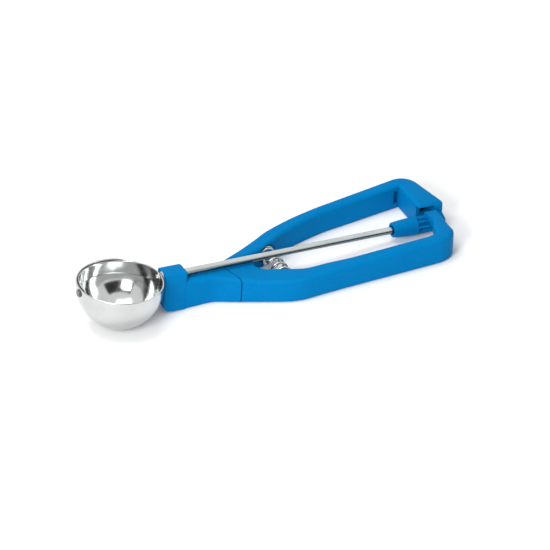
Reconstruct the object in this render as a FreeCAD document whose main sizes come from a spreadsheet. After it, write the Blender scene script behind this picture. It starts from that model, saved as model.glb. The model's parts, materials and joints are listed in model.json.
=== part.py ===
import FreeCAD, Part
import math
import os
import Sketcher

# Squeeze-handle ice cream scoop, in millimetres and degrees.
# It is modelled along its rod: origin at the bowl's centre, X along the rod towards the
# hand, Y across the handle, Z up out of the bowl's mouth. Every piece then gets one common
# placement, which lays the scoop down on its bowl and on the handle's flat underside.

os.makedirs("parts", exist_ok=True)
doc = FreeCAD.newDocument("lever_scoop")
sheet = doc.addObject("Spreadsheet::Sheet", "Sizes")

SIZES = {
    # stance on the table
    "lie_angle": 5.87,
    "origin_along": 58.0,
    # bowl and scraper
    "bowl_radius": 25.0,
    "bowl_wall": 1.0,
    "rim_height": 2.6,
    "blade_gap": 0.3,
    "blade_thickness": 0.7,
    "blade_width": 8.0,
    "blade_end_reach": 4.2,
    "blade_rest_drop": 6.0,
    "blade_sweep": 168.0,
    "rivet_radius": 1.2,
    "rivet_head_radius": 1.9,
    "rivet_head_height": 0.7,
    "washer_radius": 2.4,
    "washer_thickness": 0.45,
    # rod
    "rod_radius": 2.0,
    "neck_pin_radius": 1.5,
    "drive_square": 2.0,
    "rod_flat_depth": 0.5,
    "fit_gap": 0.05,
    "seat_gap": 0.3,
    # collar and neck
    "collar_start": 25.0,
    "collar_length": 12.0,
    "collar_half_width": 5.3,
    "collar_top": 3.4,
    "collar_bottom": 20.8,
    "collar_edge": 2.0,
    "neck_half_width": 4.7,
    "neck_top_drop": 2.7,
    "neck_flare_front": 55.0,
    "neck_flare_back": 61.0,
    "bush_radius": 3.0,
    "tang_thickness": 2.0,
    "tang_end": 56.0,
    "tang_top": 5.0,
    "tang_bottom": 14.5,
    "tang_hole": 2.2,
    # hinge
    "pivot_along": 74.0,
    "knuckle_radius": 8.5,
    "seam_outer_along": 68.7,
    "seam_outer_side": 13.9,
    "seam_inner_along": 65.4,
    "seam_inner_side": 1.0,
    "seam_gap": 0.1,
    "tab_radius": 5.8,
    "tab_low": 12.8,
    "tab_high": 8.2,
    "pin_radius": 2.0,
    "pin_head_radius": 3.2,
    "pin_head_height": 1.1,
    "pin_low": 16.6,
    "pin_high": 4.4,
    # arms
    "slope_start": 83.0,
    "heel_along": 190.0,
    "heel_top": 9.9,
    "slope_blend": 80.0,
    "top_edge": 2.4,
    "bottom_edge": 1.6,
    "lever_lift": 0.1,
    "shoulder_along": 98.0,
    "lever_shoulder_side": 29.6,
    "lever_rear_side": 33.9,
    "lever_rear_along": 194.1,
    "lever_thickness": 9.0,
    "body_shoulder_side": 24.1,
    "body_bend_along": 140.0,
    "body_bend_side": 33.2,
    "body_rear_side": 37.9,
    "body_rear_along": 194.8,
    "body_apex_along": 202.2,
    "body_thickness": 7.6,
    "corner_radius": 11.5,
    # rear crossbar, rack and pinion
    "pinion_teeth": 9.0,
    "pressure_angle": 25.0,
    "addendum_share": 0.8,
    "tip_clearance": 0.22,
    "backlash": 0.3,
    "sector_teeth": 249.0,
    "rack_gaps": 6.0,
    "rack_middle": 192.25,
    "tongue_half_width": 3.25,
    "tongue_end_side": 1.95,
    "tongue_top": 7.6,
    "tongue_step_side": 9.6,
    "tongue_root_side": 21.5,
    "bar_inner_along": 186.2,
    "bar_end_side": 3.2,
    "bar_underside": 1.7,
    "bar_wall_along": 196.0,
    "channel_roof": 8.5,
    "channel_end_side": 17.0,
    "pinion_bay_side": 6.4,
    "pinion_start": 183.2,
    "pinion_end": 193.8,
    "hub_start": 170.0,
    "hub_nose_radius": 3.7,
    "hub_recess_radius": 3.0,
    "hub_recess_depth": 1.8,
    "boss_half_width": 4.6,
    "boss_bottom": 4.3,
    "boss_top": 4.6,
    "boss_rounding": 3.4,
    "boss_end": 200.3,
    "tail_end": 199.2,
    "thrust_radius": 3.0,
    "relief_width": 3.0,
    "relief_depth": 2.2,
    "relief_low": 2.3,
    "relief_high": 5.5,
    # return spring
    "spring_along": 98.0,
    "spring_drop": 8.0,
    "spring_mean_radius": 4.3,
    "spring_wire": 1.4,
    "spring_turns": 7.5,
    "spring_end_pitch": 1.9,
    "spring_body_seat": 16.2,
    "spring_lever_seat": 17.6,
    "spring_cup_radius": 5.8,
    "spring_peg_radius": 2.6,
    "spring_peg_length": 4.5,
}


class Size:
    """A length or an angle that keeps its number together with its sheet formula."""

    def __init__(self, value, text):
        self.value = float(value)
        self.text = text

    def __add__(self, other):
        other = as_size(other)
        return Size(self.value + other.value, "(%s + %s)" % (self.text, other.text))

    def __sub__(self, other):
        other = as_size(other)
        return Size(self.value - other.value, "(%s - %s)" % (self.text, other.text))

    def __mul__(self, other):
        other = as_size(other)
        return Size(self.value * other.value, "(%s * %s)" % (self.text, other.text))

    def __truediv__(self, other):
        other = as_size(other)
        return Size(self.value / other.value, "(%s / %s)" % (self.text, other.text))

    def __radd__(self, other):
        return as_size(other) + self

    def __rsub__(self, other):
        return as_size(other) - self

    def __rmul__(self, other):
        return as_size(other) * self

    def __neg__(self):
        return Size(-self.value, "(0 - %s)" % self.text)


def as_size(thing):
    return thing if isinstance(thing, Size) else Size(thing, repr(float(thing)))


def cosine(angle):
    return Size(math.cos(math.radians(angle.value)), "cos(%s * 1deg)" % angle.text)


def sine(angle):
    return Size(math.sin(math.radians(angle.value)), "sin(%s * 1deg)" % angle.text)


def tangent(angle):
    return Size(math.tan(math.radians(angle.value)), "tan(%s * 1deg)" % angle.text)


def root(number):
    return Size(math.sqrt(number.value), "sqrt(%s)" % number.text)


def fill_sheet():
    """Writes each named size to its own cell and returns them by name."""
    names = {}
    for row, (name, value) in enumerate(SIZES.items(), start=1):
        sheet.set("A%d" % row, name.replace("_", " "))
        sheet.set("B%d" % row, str(value))
        sheet.setAlias("B%d" % row, name)
        names[name] = Size(value, "Sizes." + name)
    doc.recompute()
    return names


n = fill_sheet()

# Lines that several pieces share.
cell = n["bowl_radius"] / cosine(n["lie_angle"])
slope = tangent(n["lie_angle"])
inner_radius = n["bowl_radius"] - n["bowl_wall"]
blade_outer = inner_radius - n["blade_gap"]
blade_inner = blade_outer - n["blade_thickness"]
rack_radius = n["rack_middle"] - n["pivot_along"]
gear_module = rack_radius * 2 / n["sector_teeth"]
pitch_radius = gear_module * n["pinion_teeth"] * 0.5
addendum = gear_module * n["addendum_share"]
rack_tips = pitch_radius - addendum
collar_end = n["collar_start"] + n["collar_length"]
lever_travel = n["blade_sweep"] * n["pinion_teeth"] / n["sector_teeth"]


def table_line(along):
    """Height of the table under the rod, measured square to the rod."""
    return slope * along - cell


def bind(item, path, size):
    item.setExpression(path, as_size(size).text)


def place(item):
    """Lays a piece down with the others: one turn about Y and one shift."""
    item.Placement = FreeCAD.Placement(
        FreeCAD.Vector(0, 0, 0), FreeCAD.Rotation(FreeCAD.Vector(0, 1, 0), n["lie_angle"].value)
    )
    shift = n["origin_along"] / cosine(n["lie_angle"]) - n["bowl_radius"] * slope
    bind(item, "Placement.Rotation.Angle", n["lie_angle"] * 1)
    bind(item, "Placement.Base.x", -shift)
    bind(item, "Placement.Base.z", n["bowl_radius"])


PIECES = []


def new_body(label):
    body = doc.addObject("PartDesign::Body", label)
    body.Label = label
    place(body)
    PIECES.append(body)
    return body


def attach(body, name, role, offset=0.0, tilt=None):
    """A sketch on one of the body's own origin planes, moved along that plane's normal.

    A tilt turns the sketch about the X line, which is the rod's own axis.
    """
    sketch = body.newObject("Sketcher::SketchObject", name)
    planes = [item for item in body.Origin.OriginFeatures if item.Role == role]
    sketch.AttachmentSupport = [(planes[0], "")]
    sketch.MapMode = "FlatFace"
    offset = as_size(offset)
    sketch.AttachmentOffset = FreeCAD.Placement(
        FreeCAD.Vector(0, 0, offset.value), FreeCAD.Rotation()
    )
    bind(sketch, "AttachmentOffset.Base.z", offset)
    if tilt is not None:
        rod_line = (0, 0, 1) if role == "YZ_Plane" else (1, 0, 0)
        sketch.AttachmentOffset = FreeCAD.Placement(
            FreeCAD.Vector(0, 0, offset.value),
            FreeCAD.Rotation(FreeCAD.Vector(*rod_line), tilt.value),
        )
        bind(sketch, "AttachmentOffset.Rotation.Angle", tilt)
    return sketch


def fix_point(sketch, geometry, end, across, up):
    """Ties a point of the sketch to two sheet formulas, measured from the sketch origin."""
    for kind, axis, size in (("DistanceX", -2, across), ("DistanceY", -1, up)):
        size = as_size(size)
        if abs(size.value) < 1e-9:
            sketch.addConstraint(Sketcher.Constraint("PointOnObject", geometry, end, axis))
            continue
        index = sketch.addConstraint(
            Sketcher.Constraint(kind, -1, 1, geometry, end, size.value)
        )
        bind(sketch, "Constraints[%d]" % index, size)


def draw_outline(sketch, corners):
    """Closed outline through corners (across, up) or (across, up, rounding radius).

    A rounded corner keeps its own point, where the two straight sides would meet.
    """
    count = len(corners)
    spots = [FreeCAD.Vector(as_size(c[0]).value, as_size(c[1]).value, 0) for c in corners]
    radii = [as_size(c[2]) if len(c) > 2 else None for c in corners]
    trims = []
    for i, radius in enumerate(radii):
        if radius is None:
            trims.append(0.0)
            continue
        before = (spots[i - 1] - spots[i]).normalize()
        after = (spots[(i + 1) % count] - spots[i]).normalize()
        half_turn = (math.pi - before.getAngle(after)) / 2
        trims.append(radius.value * math.tan(half_turn))
    sides = []
    for i in range(count):
        j = (i + 1) % count
        along = (spots[j] - spots[i]).normalize()
        start = spots[i] + along * trims[i]
        end = spots[j] - along * trims[j]
        sides.append(sketch.addGeometry(Part.LineSegment(start, end), False))
    for i, radius in enumerate(radii):
        before, after = sides[i - 1], sides[i]
        if radius is None:
            sketch.addConstraint(Sketcher.Constraint("Coincident", before, 2, after, 1))
            fix_point(sketch, after, 1, corners[i][0], corners[i][1])
            continue
        start = sketch.getPoint(before, 2)
        end = sketch.getPoint(after, 1)
        inward = (start - spots[i]).normalize() + (end - spots[i]).normalize()
        inward.normalize()
        reach = math.hypot(radius.value, trims[i])
        centre = spots[i] + inward * reach
        middle = centre - inward * radius.value
        arc = sketch.addGeometry(Part.Arc(start, middle, end), False)
        first = 1 if sketch.getPoint(arc, 1).distanceToPoint(start) < 1e-6 else 2
        sketch.addConstraint(Sketcher.Constraint("Tangent", before, 2, arc, first))
        sketch.addConstraint(Sketcher.Constraint("Tangent", after, 1, arc, 3 - first))
        index = sketch.addConstraint(Sketcher.Constraint("Radius", arc, radius.value))
        bind(sketch, "Constraints[%d]" % index, radius)
        mark = sketch.addGeometry(Part.Point(spots[i]), True)
        sketch.addConstraint(Sketcher.Constraint("PointOnObject", mark, 1, before))
        sketch.addConstraint(Sketcher.Constraint("PointOnObject", mark, 1, after))
        fix_point(sketch, mark, 1, corners[i][0], corners[i][1])


def draw_circle(sketch, across, up, radius):
    across, up, radius = as_size(across), as_size(up), as_size(radius)
    centre = FreeCAD.Vector(across.value, up.value, 0)
    ring = sketch.addGeometry(Part.Circle(centre, FreeCAD.Vector(0, 0, 1), radius.value), False)
    fix_point(sketch, ring, 3, across, up)
    index = sketch.addConstraint(Sketcher.Constraint("Radius", ring, radius.value))
    bind(sketch, "Constraints[%d]" % index, radius)


def outline(body, name, role, corners, offset=0.0, tilt=None):
    sketch = attach(body, name, role, offset, tilt)
    draw_outline(sketch, corners)
    return sketch


def circle(body, name, role, across, up, radius, offset=0.0, tilt=None):
    sketch = attach(body, name, role, offset, tilt)
    draw_circle(sketch, across, up, radius)
    return sketch


def rectangle(low_across, low_up, high_across, high_up):
    """The four corners of an upright rectangle."""
    return [
        (low_across, low_up), (high_across, low_up),
        (high_across, high_up), (low_across, high_up),
    ]


def checked(body, feature, grows):
    """Recomputes and makes sure that the feature added or took away material."""
    before = body.Tip.Shape.Volume if body.Tip and body.Tip != feature else 0.0
    body.Tip = feature
    doc.recompute()
    after = feature.Shape.Volume
    if (after > before) != grows or abs(after - before) < 1e-6:
        raise RuntimeError("%s: %s changed nothing" % (body.Label, feature.Label))
    return feature


def pad(body, name, sketch, length, backward=False):
    """Thickens a sketch along its normal, or against it."""
    before = body.Tip
    feature = body.newObject("PartDesign::Pad", name)
    feature.Profile = sketch
    feature.Length = as_size(length).value
    feature.Reversed = backward
    bind(feature, "Length", length)
    body.Tip = before
    return checked(body, feature, True)


def pocket(body, name, sketch, length=None, forward=True):
    """Cuts a sketch along its normal, or both ways through everything with no length."""
    before = body.Tip
    feature = body.newObject("PartDesign::Pocket", name)
    feature.Profile = sketch
    if length is None:
        feature.Type = "ThroughAll"
        feature.Midplane = True
    else:
        feature.Length = as_size(length).value
        bind(feature, "Length", length)
        feature.Reversed = forward
    body.Tip = before
    return checked(body, feature, False)


def beside_wall(shape, edge):
    """True where an edge borders an upright wall."""
    for face in shape.ancestorsOfType(edge, Part.Face):
        across, up = face.Surface.parameter(middle(edge))
        if abs(face.normalAt(across, up).z) < 0.01:
            return True
    return False


def round_edges(body, name, radius, wanted, walls=False):
    """Rounds every edge of the body for which wanted(edge) is true."""
    base = body.Tip
    names = []
    for i, edge in enumerate(base.Shape.Edges):
        if wanted(edge) and (not walls or beside_wall(base.Shape, edge)):
            names.append("Edge%d" % (i + 1))
    feature = body.newObject("PartDesign::Fillet", name)
    feature.Base = (base, names)
    feature.Radius = as_size(radius).value
    bind(feature, "Radius", radius)
    body.Tip = feature
    doc.recompute()
    return feature


def revolve(body, name, sketch, axis="V_Axis"):
    before = body.Tip
    feature = body.newObject("PartDesign::Revolution", name)
    feature.Profile = sketch
    feature.ReferenceAxis = (sketch, [axis])
    feature.Angle = 360.0
    body.Tip = before
    return checked(body, feature, True)


def middle(edge):
    span = edge.ParameterRange
    return edge.valueAt((span[0] + span[1]) / 2)


def shell_band(sketch, outer, inner, low, high):
    """Half section of a spherical wall between two heights, right of the vertical axis."""
    outer, inner, high = as_size(outer), as_size(inner), as_size(high)
    upright = FreeCAD.Vector(0, 0, 1)
    heart = FreeCAD.Vector(0, 0, 0)
    rings = []
    for radius in (outer, inner):
        top = math.asin(high.value / radius.value)
        bottom = -math.pi / 2 if low is None else math.asin(low.value / radius.value)
        arc = Part.ArcOfCircle(Part.Circle(heart, upright, radius.value), bottom, top)
        ring = sketch.addGeometry(arc, False)
        sketch.addConstraint(Sketcher.Constraint("Coincident", ring, 3, -1, 1))
        index = sketch.addConstraint(Sketcher.Constraint("Radius", ring, radius.value))
        bind(sketch, "Constraints[%d]" % index, radius)
        index = sketch.addConstraint(
            Sketcher.Constraint("DistanceY", -1, 1, ring, 2, high.value)
        )
        bind(sketch, "Constraints[%d]" % index, high)
        if low is None:
            sketch.addConstraint(Sketcher.Constraint("PointOnObject", ring, 1, -2))
        else:
            index = sketch.addConstraint(
                Sketcher.Constraint("DistanceY", -1, 1, ring, 1, low.value)
            )
            bind(sketch, "Constraints[%d]" % index, low)
        rings.append(ring)
    for end in (1, 2):
        start = sketch.getPoint(rings[0], end)
        stop = sketch.getPoint(rings[1], end)
        side = sketch.addGeometry(Part.LineSegment(start, stop), False)
        sketch.addConstraint(Sketcher.Constraint("Coincident", side, 1, rings[0], end))
        sketch.addConstraint(Sketcher.Constraint("Coincident", side, 2, rings[1], end))


# Bowl: a pressed half sphere, carried a little past its middle to the rim.
def make_bowl():
    body = new_body("bowl")
    section = attach(body, "bowl_section", "XZ_Plane")
    shell_band(section, n["bowl_radius"], inner_radius, None, n["rim_height"])
    revolve(body, "bowl_shell", section)
    hole = circle(
        body, "rod_hole_circle", "YZ_Plane", 0, 0, n["neck_pin_radius"] + n["fit_gap"] * 2
    )
    pocket(body, "rod_hole", hole, n["bowl_radius"] * 1.2)
    hole = circle(
        body, "rivet_hole_circle", "YZ_Plane", 0, 0, n["rivet_radius"] + n["fit_gap"] * 0.4
    )
    pocket(body, "rivet_hole", hole, n["bowl_radius"] * 1.2, forward=False)


# Front pivot: a washer outside the bowl and a rivet closed over washer, bowl and blade.
def make_front_pivot():
    face = n["bowl_radius"] + n["fit_gap"]
    body = new_body("pivot_washer")
    ring = circle(body, "washer_circle", "YZ_Plane", 0, 0, n["washer_radius"], -face)
    draw_circle(ring, 0, 0, n["rivet_radius"] + n["fit_gap"] * 0.4)
    pad(body, "washer_disc", ring, n["washer_thickness"], backward=True)
    outer_face = face + n["washer_thickness"]
    inner_face = blade_inner - n["fit_gap"] * 3
    body = new_body("front_pivot_rivet")
    shank, head = n["rivet_radius"], n["rivet_head_radius"]
    crown = n["rivet_head_height"] * 0.6
    profile = [
        (-outer_face - n["rivet_head_height"], 0),
        (-inner_face + n["rivet_head_height"], 0),
        (-inner_face + n["rivet_head_height"], head, crown),
        (-inner_face, head),
        (-inner_face, shank),
        (-outer_face, shank),
        (-outer_face, head),
        (-outer_face - n["rivet_head_height"], head, crown),
    ]
    section = outline(body, "rivet_section", "XY_Plane", profile)
    revolve(body, "rivet_turned", section, "H_Axis")


# Scraper blade: a strip of a sphere that runs pole to pole inside the bowl. At rest it lies
# a few degrees below level, under the far rim.
def make_blade():
    body = new_body("scraper_blade")
    tilt = -n["blade_rest_drop"]
    section = attach(body, "blade_section", "XZ_Plane", 0, tilt)
    half = n["blade_width"] * 0.5
    shell_band(section, blade_outer, blade_inner, -half, half)
    revolve(body, "blade_band", section)
    reach = n["bowl_radius"] * 1.1
    trim = outline(
        body, "blade_ends", "XY_Plane",
        rectangle(-reach, -reach, reach, -n["blade_end_reach"]), 0, tilt,
    )
    pocket(body, "blade_half", trim)
    level = FreeCAD.Rotation(FreeCAD.Vector(1, 0, 0), -tilt.value)

    def tip_corner(edge):
        point = level.multVec(middle(edge))
        end = abs(point.y + n["blade_end_reach"].value) < 0.01
        return end and abs(abs(point.z) - half.value) < 0.01

    round_edges(body, "blade_tips", half * 0.92, tip_corner)
    side = n["drive_square"] * 0.5 + n["fit_gap"]
    slot = outline(
        body, "drive_slot", "YZ_Plane", rectangle(-side, -side, side, side), 0, tilt
    )
    pocket(body, "drive_hole", slot, reach)
    hole = circle(body, "pivot_circle", "YZ_Plane", 0, 0, n["rivet_radius"] + n["fit_gap"])
    pocket(body, "pivot_hole", hole, reach, forward=False)


# Rod: turned down and squared at the bowl, with a head upset over the blade, and flattened
# at the back where the pinion drives it.
def make_rod():
    body = new_body("drive_rod")
    shoulder = n["bowl_radius"] + n["fit_gap"] * 8
    blade_face = blade_outer + n["fit_gap"]
    head_face = blade_inner - n["fit_gap"] * 3
    stem = circle(body, "rod_circle", "YZ_Plane", 0, 0, n["rod_radius"], shoulder)
    pad(body, "rod_length", stem, n["tail_end"] - shoulder)
    neck = circle(body, "neck_circle", "YZ_Plane", 0, 0, n["neck_pin_radius"], blade_face)
    pad(body, "rod_neck", neck, shoulder - blade_face)
    half = n["drive_square"] * 0.5
    drive = outline(
        body, "drive_square_sketch", "YZ_Plane", rectangle(-half, -half, half, half),
        head_face, -n["blade_rest_drop"],
    )
    pad(body, "rod_drive", drive, blade_face - head_face)
    start = head_face - n["rivet_head_height"]
    head = circle(body, "head_circle", "YZ_Plane", 0, 0, n["rivet_head_radius"], start)
    pad(body, "rod_head", head, n["rivet_head_height"])
    reach = n["rod_radius"] * 1.5
    flat = outline(
        body, "flat_sketch", "YZ_Plane",
        rectangle(-reach, -reach, reach, n["rod_flat_depth"] - n["rod_radius"]),
        n["hub_start"] + n["hub_recess_depth"],
    )
    length = n["pinion_end"] - n["hub_start"] - n["hub_recess_depth"]
    pocket(body, "rod_flat", flat, length)


# Bush in the collar, in which the rod turns.
def make_bushes():
    body = new_body("rod_bush")
    start = n["bowl_radius"] + n["seat_gap"] * 4
    ring = circle(body, "bush_circle", "YZ_Plane", 0, 0, n["bush_radius"], start)
    draw_circle(ring, 0, 0, n["rod_radius"] + n["fit_gap"])
    pad(body, "bush_sleeve", ring, collar_end - start)
    body = new_body("tail_bush")
    ring = circle(
        body, "tail_circle", "YZ_Plane", 0, 0, n["bush_radius"], n["bar_wall_along"]
    )
    draw_circle(ring, 0, 0, n["rod_radius"] + n["fit_gap"])
    pad(body, "tail_sleeve", ring, n["tail_end"] - n["bar_wall_along"])
    body = new_body("thrust_washer")
    ring = circle(
        body, "thrust_circle", "YZ_Plane", 0, 0, n["thrust_radius"],
        n["pinion_end"] + n["fit_gap"],
    )
    draw_circle(ring, 0, 0, n["rod_radius"] + n["fit_gap"])
    pad(body, "thrust_disc", ring, n["bar_wall_along"] - n["pinion_end"] - n["fit_gap"] * 2)


def tang_corners(gap):
    """Side view of the tang, grown all round by a gap."""
    return [
        (n["collar_start"] - gap, -(n["tang_bottom"] + gap)),
        (n["tang_end"] + gap, -(n["tang_bottom"] + gap)),
        (n["tang_end"] + gap, -(n["tang_top"] - gap)),
        (n["collar_start"] - n["bowl_wall"] - gap, -(n["tang_top"] - gap)),
    ]


def hollow_bowl_seat(body, name, radius):
    """Cuts the ball of the bowl, with its gap, out of a piece behind it."""
    feature = body.newObject("PartDesign::SubtractiveSphere", name)
    feature.Radius = as_size(radius).value
    bind(feature, "Radius", radius)
    body.Tip = feature
    doc.recompute()


# Tang: a steel plate welded to the back of the bowl and moulded into the neck.
def make_tang():
    body = new_body("bowl_tang")
    half = n["tang_thickness"] * 0.5
    plate = outline(body, "tang_outline", "XZ_Plane", tang_corners(as_size(0)), -half)
    pad(body, "tang_plate", plate, n["tang_thickness"])
    hollow_bowl_seat(body, "tang_bowl_edge", n["bowl_radius"] + n["fit_gap"])
    middle_up = -(n["tang_top"] + n["tang_bottom"]) * 0.5
    for i, share in enumerate((0.45, 0.8)):
        along = n["collar_start"] + (n["tang_end"] - n["collar_start"]) * share
        hole = circle(
            body, "lock_circle_%d" % i, "XZ_Plane", along, middle_up, n["tang_hole"], -half * 2
        )
        pocket(body, "lock_hole_%d" % i, hole, n["tang_thickness"] * 2)


def top_profile(far):
    """Outline of everything above the handle, seen from the side."""
    high = n["heel_top"] * 3
    return [
        (0, -n["neck_top_drop"]),
        (n["slope_start"], -n["neck_top_drop"], n["slope_blend"]),
        (n["heel_along"], n["heel_top"], n["slope_blend"] * 0.4),
        (far, n["heel_top"] + 0.4),
        (far, high),
        (0, high),
    ]


def under_profile(far, lift):
    """Outline of everything under the table plane, seen from the side."""
    low = -cell * 1.6
    return [
        (0, table_line(0) + lift),
        (0, low),
        (far, low),
        (far, table_line(far) + lift),
    ]


def shape_height(body, far, lift):
    """Cuts a blank to the handle's sloping top and to the table plane."""
    above = outline(body, "top_line", "XZ_Plane", top_profile(far))
    pocket(body, "top_cut", above)
    below = outline(body, "under_line", "XZ_Plane", under_profile(far, lift))
    pocket(body, "under_cut", below)


def on_top(point):
    """True on the handle's top surface."""
    far = n["slope_start"].value
    rise = n["heel_top"].value + n["neck_top_drop"].value
    share = (point.x - far) / (n["heel_along"].value - far)
    line = -n["neck_top_drop"].value + rise * min(max(share, 0.0), 1.0)
    return abs(point.z - line) < 1.0


def underneath(point):
    return abs(point.z - table_line(as_size(point.x)).value) < 0.5


def seam_line(gap, reach):
    """The seam between neck and lever: its inner end, and a point beyond its outer end."""
    inner = (n["seam_inner_along"] + gap, -n["seam_inner_side"])
    run = n["seam_outer_along"] - n["seam_inner_along"]
    drop = n["seam_outer_side"] - n["seam_inner_side"]
    outer = (inner[0] + run * reach, -(n["seam_inner_side"] + drop * reach))
    return inner, outer


def body_plan():
    """The handle body seen from above, still solid round the hinge."""
    thick = n["body_thickness"]
    rise = (n["body_shoulder_side"] - n["neck_half_width"]) / (
        n["shoulder_along"] - n["neck_flare_back"]
    )
    fall = (n["seam_outer_side"] - n["neck_half_width"] - 1.3) / (
        n["seam_outer_along"] - n["neck_flare_front"]
    )
    ahead = n["pivot_along"] + 4
    start = collar_end - n["collar_length"] * 0.5
    bend_along = n["shoulder_along"] + 12
    bend_side = n["body_shoulder_side"] - thick * 0.74
    return [
        (start, -n["neck_half_width"]),
        (n["neck_flare_front"], -(n["neck_half_width"] + 1.3), 14),
        (ahead, -(n["seam_outer_side"] + (ahead - n["seam_outer_along"]) * fall), 3.5),
        (ahead, bend_side - (bend_along - ahead) * 0.396, 3),
        (bend_along, bend_side, 30),
        (n["body_bend_along"], n["body_bend_side"] - thick * 0.94, 60),
        (n["bar_inner_along"], n["body_rear_side"] - thick * 1.14),
        (n["bar_inner_along"], n["bar_end_side"]),
        (n["body_apex_along"], n["bar_end_side"], 2),
        (n["body_rear_along"], n["body_rear_side"], n["corner_radius"]),
        (n["body_bend_along"], n["body_bend_side"], 70),
        (n["shoulder_along"] + 3, n["body_shoulder_side"] + rise * 3, 25),
        (n["neck_flare_back"], n["neck_half_width"] + 0.8, 14),
        (start, n["neck_half_width"]),
    ]


# Handle body: collar, neck, far arm and rear crossbar in one moulding.
def make_handle_body():
    body = new_body("handle_body")
    low = -cell - 1
    blank = outline(body, "handle_plan", "XY_Plane", body_plan(), low)
    pad(body, "handle_blank", blank, cell + n["heel_top"] * 2)
    shape_height(body, n["body_apex_along"] + 8, as_size(0))
    front = collar_end.value - 1
    bar = n["bar_end_side"].value

    def wanted(edge, level):
        point = middle(edge)
        bar_end = abs(point.y - bar) < 0.1 and point.x > n["bar_inner_along"].value
        ends = all(level(v.Point) for v in edge.Vertexes)
        return level(point) and ends and point.x > front and not bar_end

    round_edges(body, "top_rounding", n["top_edge"], lambda e: wanted(e, on_top), True)
    round_edges(body, "under_rounding", n["bottom_edge"], lambda e: wanted(e, underneath), True)
    inner, outer = seam_line(0, 1.5)
    clear = n["pivot_along"] + 12
    seam = outline(
        body, "seam_plan", "XY_Plane",
        [outer, (clear, outer[1]), (clear, 0), (n["pivot_along"], 0), inner],
    )
    pocket(body, "seam_cut", seam)
    add_collar(body)
    cut_hinge(body)
    cut_crossbar(body)
    cut_spring_seat(body, n["spring_body_seat"], True)
    tang = outline(
        body, "tang_slot_outline", "XZ_Plane", tang_corners(n["fit_gap"]),
        -(n["tang_thickness"] * 0.5 + n["fit_gap"]),
    )
    pocket(body, "tang_slot", tang, n["tang_thickness"] + n["fit_gap"] * 2)


def add_collar(body):
    """The block that stands up round the rod behind the bowl."""
    wide, edge = n["collar_half_width"], n["collar_edge"]
    block = outline(
        body, "collar_plan", "XY_Plane",
        [
            (n["collar_start"], -wide), (collar_end, -wide, edge), (collar_end, wide, edge),
            (n["collar_start"], wide),
        ],
        -n["collar_bottom"],
    )
    pad(body, "collar_block", block, n["collar_top"] + n["collar_bottom"])
    top, front = n["collar_top"].value, n["collar_start"].value

    def crown(edge):
        point = middle(edge)
        return abs(point.z - top) < 0.01 and point.x > front + 0.1

    round_edges(body, "collar_rounding", edge * 0.9, crown)
    hollow_bowl_seat(body, "bowl_clearance", n["bowl_radius"] + n["seat_gap"])
    bore = circle(
        body, "rod_bore_circle", "YZ_Plane", 0, 0, n["bush_radius"], n["collar_start"] - 1
    )
    pocket(body, "rod_bore", bore, n["collar_length"] + 2)


def cut_hinge(body):
    """The round seat of the lever's knuckle, with the tab that enters the knuckle."""
    seat = circle(
        body, "knuckle_seat_circle", "XY_Plane", n["pivot_along"], 0,
        n["knuckle_radius"] + n["seat_gap"], -cell,
    )
    pocket(body, "knuckle_seat", seat, cell * 2)
    radius = n["tab_radius"]
    tab_end = n["pivot_along"] + radius
    tab = outline(
        body, "tab_plan", "XY_Plane",
        [
            (n["neck_flare_back"] + 1, -radius), (tab_end, -radius, radius * 0.98),
            (tab_end, radius, radius * 0.98), (n["neck_flare_back"] + 1, radius),
        ],
        -n["tab_low"],
    )
    pad(body, "hinge_tab", tab, n["tab_low"] - n["tab_high"])
    bore = circle(
        body, "tab_bore_circle", "XY_Plane", n["pivot_along"], 0,
        n["pin_radius"] + n["fit_gap"] * 0.4, -n["tab_low"] - 1,
    )
    pocket(body, "tab_bore", bore, n["tab_low"] - n["tab_high"] + 2)


def turned_strip(body, name, kind, corners, ahead, back):
    """A strip swept about the hinge pin, a given angle to each side of the rod's plane."""
    section = attach(body, name + "_section", "XZ_Plane")
    section.AttachmentOffset = FreeCAD.Placement(
        FreeCAD.Vector(n["pivot_along"].value, 0, 0), FreeCAD.Rotation()
    )
    bind(section, "AttachmentOffset.Base.x", n["pivot_along"])
    draw_outline(section, corners)
    before = body.Tip
    feature = body.newObject(kind, name)
    feature.Profile = section
    feature.ReferenceAxis = (section, ["V_Axis"])
    feature.Type = "TwoAngles"
    feature.Angle = ahead.value
    feature.Angle2 = back.value
    bind(feature, "Angle", ahead)
    bind(feature, "Angle2", back)
    body.Tip = before
    return checked(body, feature, kind.endswith("Revolution"))


def swing(side, radius):
    """Angle about the hinge pin of a point at some side distance."""
    share = side.value / radius.value
    text = "(asin(%s / %s) / 1deg)" % (side.text, radius.text)
    return Size(math.degrees(math.asin(share)), text)


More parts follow.
